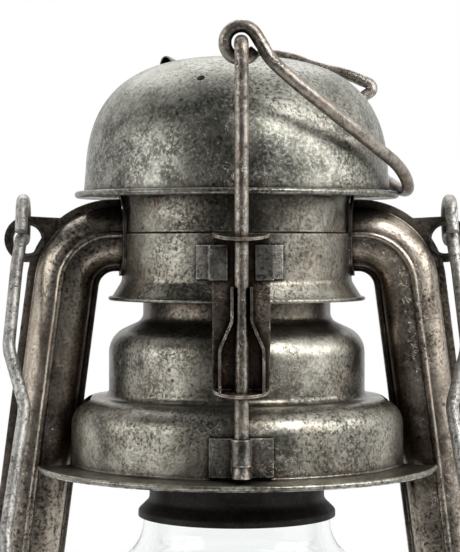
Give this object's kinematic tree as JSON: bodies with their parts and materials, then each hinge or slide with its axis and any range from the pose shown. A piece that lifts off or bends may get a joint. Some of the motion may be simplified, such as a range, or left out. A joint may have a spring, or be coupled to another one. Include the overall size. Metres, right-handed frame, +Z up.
{
  "type": "hurricane lantern",
  "caption": "Tin storm lantern with a round tank, glass globe, side air tubes, domed hood, a wire bow that lifts the globe plate, and a swinging wire bail.",
  "frame": {"origin": "centre of the base, on the plane that the foot ring stands on", "axes": "+Z up along the lantern's axis, -Y the front with the wick knob, X through the two air tubes, with the lift bow on +X"},
  "size_m": [0.148, 0.1194, 0.2707],
  "materials": {
    "tin": "old tinned sheet, mottled and satin",
    "dark_tin": "old tinned sheet, darkened by smoke",
    "soot": "sooty sheet, matte",
    "wire": "bare pitted wire, satin",
    "brass": "aged brass, satin",
    "glass": "clear glass",
    "wick": "woven cotton",
    "gasket": "matte"
  },
  "bodies": {
    "frame": {"tank_bottom": "tin", "tank_top": "tin", "filler_neck": "tin", "air_chamber": "tin", "left_tube_front": "tin", "left_tube_back": "tin", "right_tube_front": "tin", "right_tube_back": "tin", "chimney": "tin", "hood": "tin", "front_guide": "tin", "rear_guide": "tin", "front_guide_saddle": "tin", "rear_guide_saddle": "tin", "burner_plate": "tin", "left_tube_collar": "dark_tin", "right_tube_collar": "dark_tin", "chimney_floor": "dark_tin", "inner_flue": "dark_tin", "hood_stays": "dark_tin", "front_guide_spring": "wire", "rear_guide_spring": "wire", "front_guard": "wire", "rear_guard": "wire", "burner_collar": "brass", "burner_cone": "brass", "wick_tube": "brass", "globe": "glass"},
    "globe_lift": {"globe_plate": "tin", "globe_collar": "soot", "front_lift_rod": "wire", "rear_lift_rod": "wire", "front_rod_clip": "tin", "rear_rod_clip": "tin"},
    "lift_bow": {"lift_bow": "wire"},
    "bail": {"bail": "wire"},
    "wick_drive": {"wick_shaft": "wire", "wick_knob": "brass"},
    "wick": {"wick": "wick"},
    "cap_gasket": {"cap_gasket": "gasket"},
    "filler_cap": {"filler_cap": "brass"}
  },
  "joints": [
    {"name": "lift_slide", "type": "slide", "parent": "frame", "child": "globe_lift", "axis": [0, 0, 1], "range_m": [0, 0.01]},
    {"name": "bow_swing", "type": "hinge", "parent": "globe_lift", "child": "lift_bow", "pos_m": [0, 0, 0.2633], "axis": [0, -1, 0], "range_deg": [0, 180]},
    {"name": "bail_swing", "type": "hinge", "parent": "frame", "child": "bail", "pos_m": [0, 0, 0.21873], "axis": [-1, 0, 0], "range_deg": [0, 300]},
    {"name": "wick_turn", "type": "hinge", "parent": "frame", "child": "wick_drive", "pos_m": [-0.0052, -0.03, 0.0545], "axis": [0, -1, 0], "range_deg": [-107, 60]},
    {"name": "wick_rise", "type": "slide", "parent": "frame", "child": "wick", "axis": [0, 0, 1], "range_m": [-0.0075, 0.0043]},
    {"name": "cap_rise", "type": "slide", "parent": "frame", "child": "cap_gasket", "axis": [0, 0, 1], "range_m": [0, 0.004]},
    {"name": "cap_turn", "type": "hinge", "parent": "cap_gasket", "child": "filler_cap", "pos_m": [0.03366, -0.03366, 0.047], "axis": [0, 0, 1], "range_deg": [0, 720]}
  ],
  "couplings": [
    {"joint": "wick_rise", "follows": "wick_turn", "m_per_rad": 0.004},
    {"joint": "cap_rise", "follows": "cap_turn", "m_per_rad": 0.000318}
  ]
}
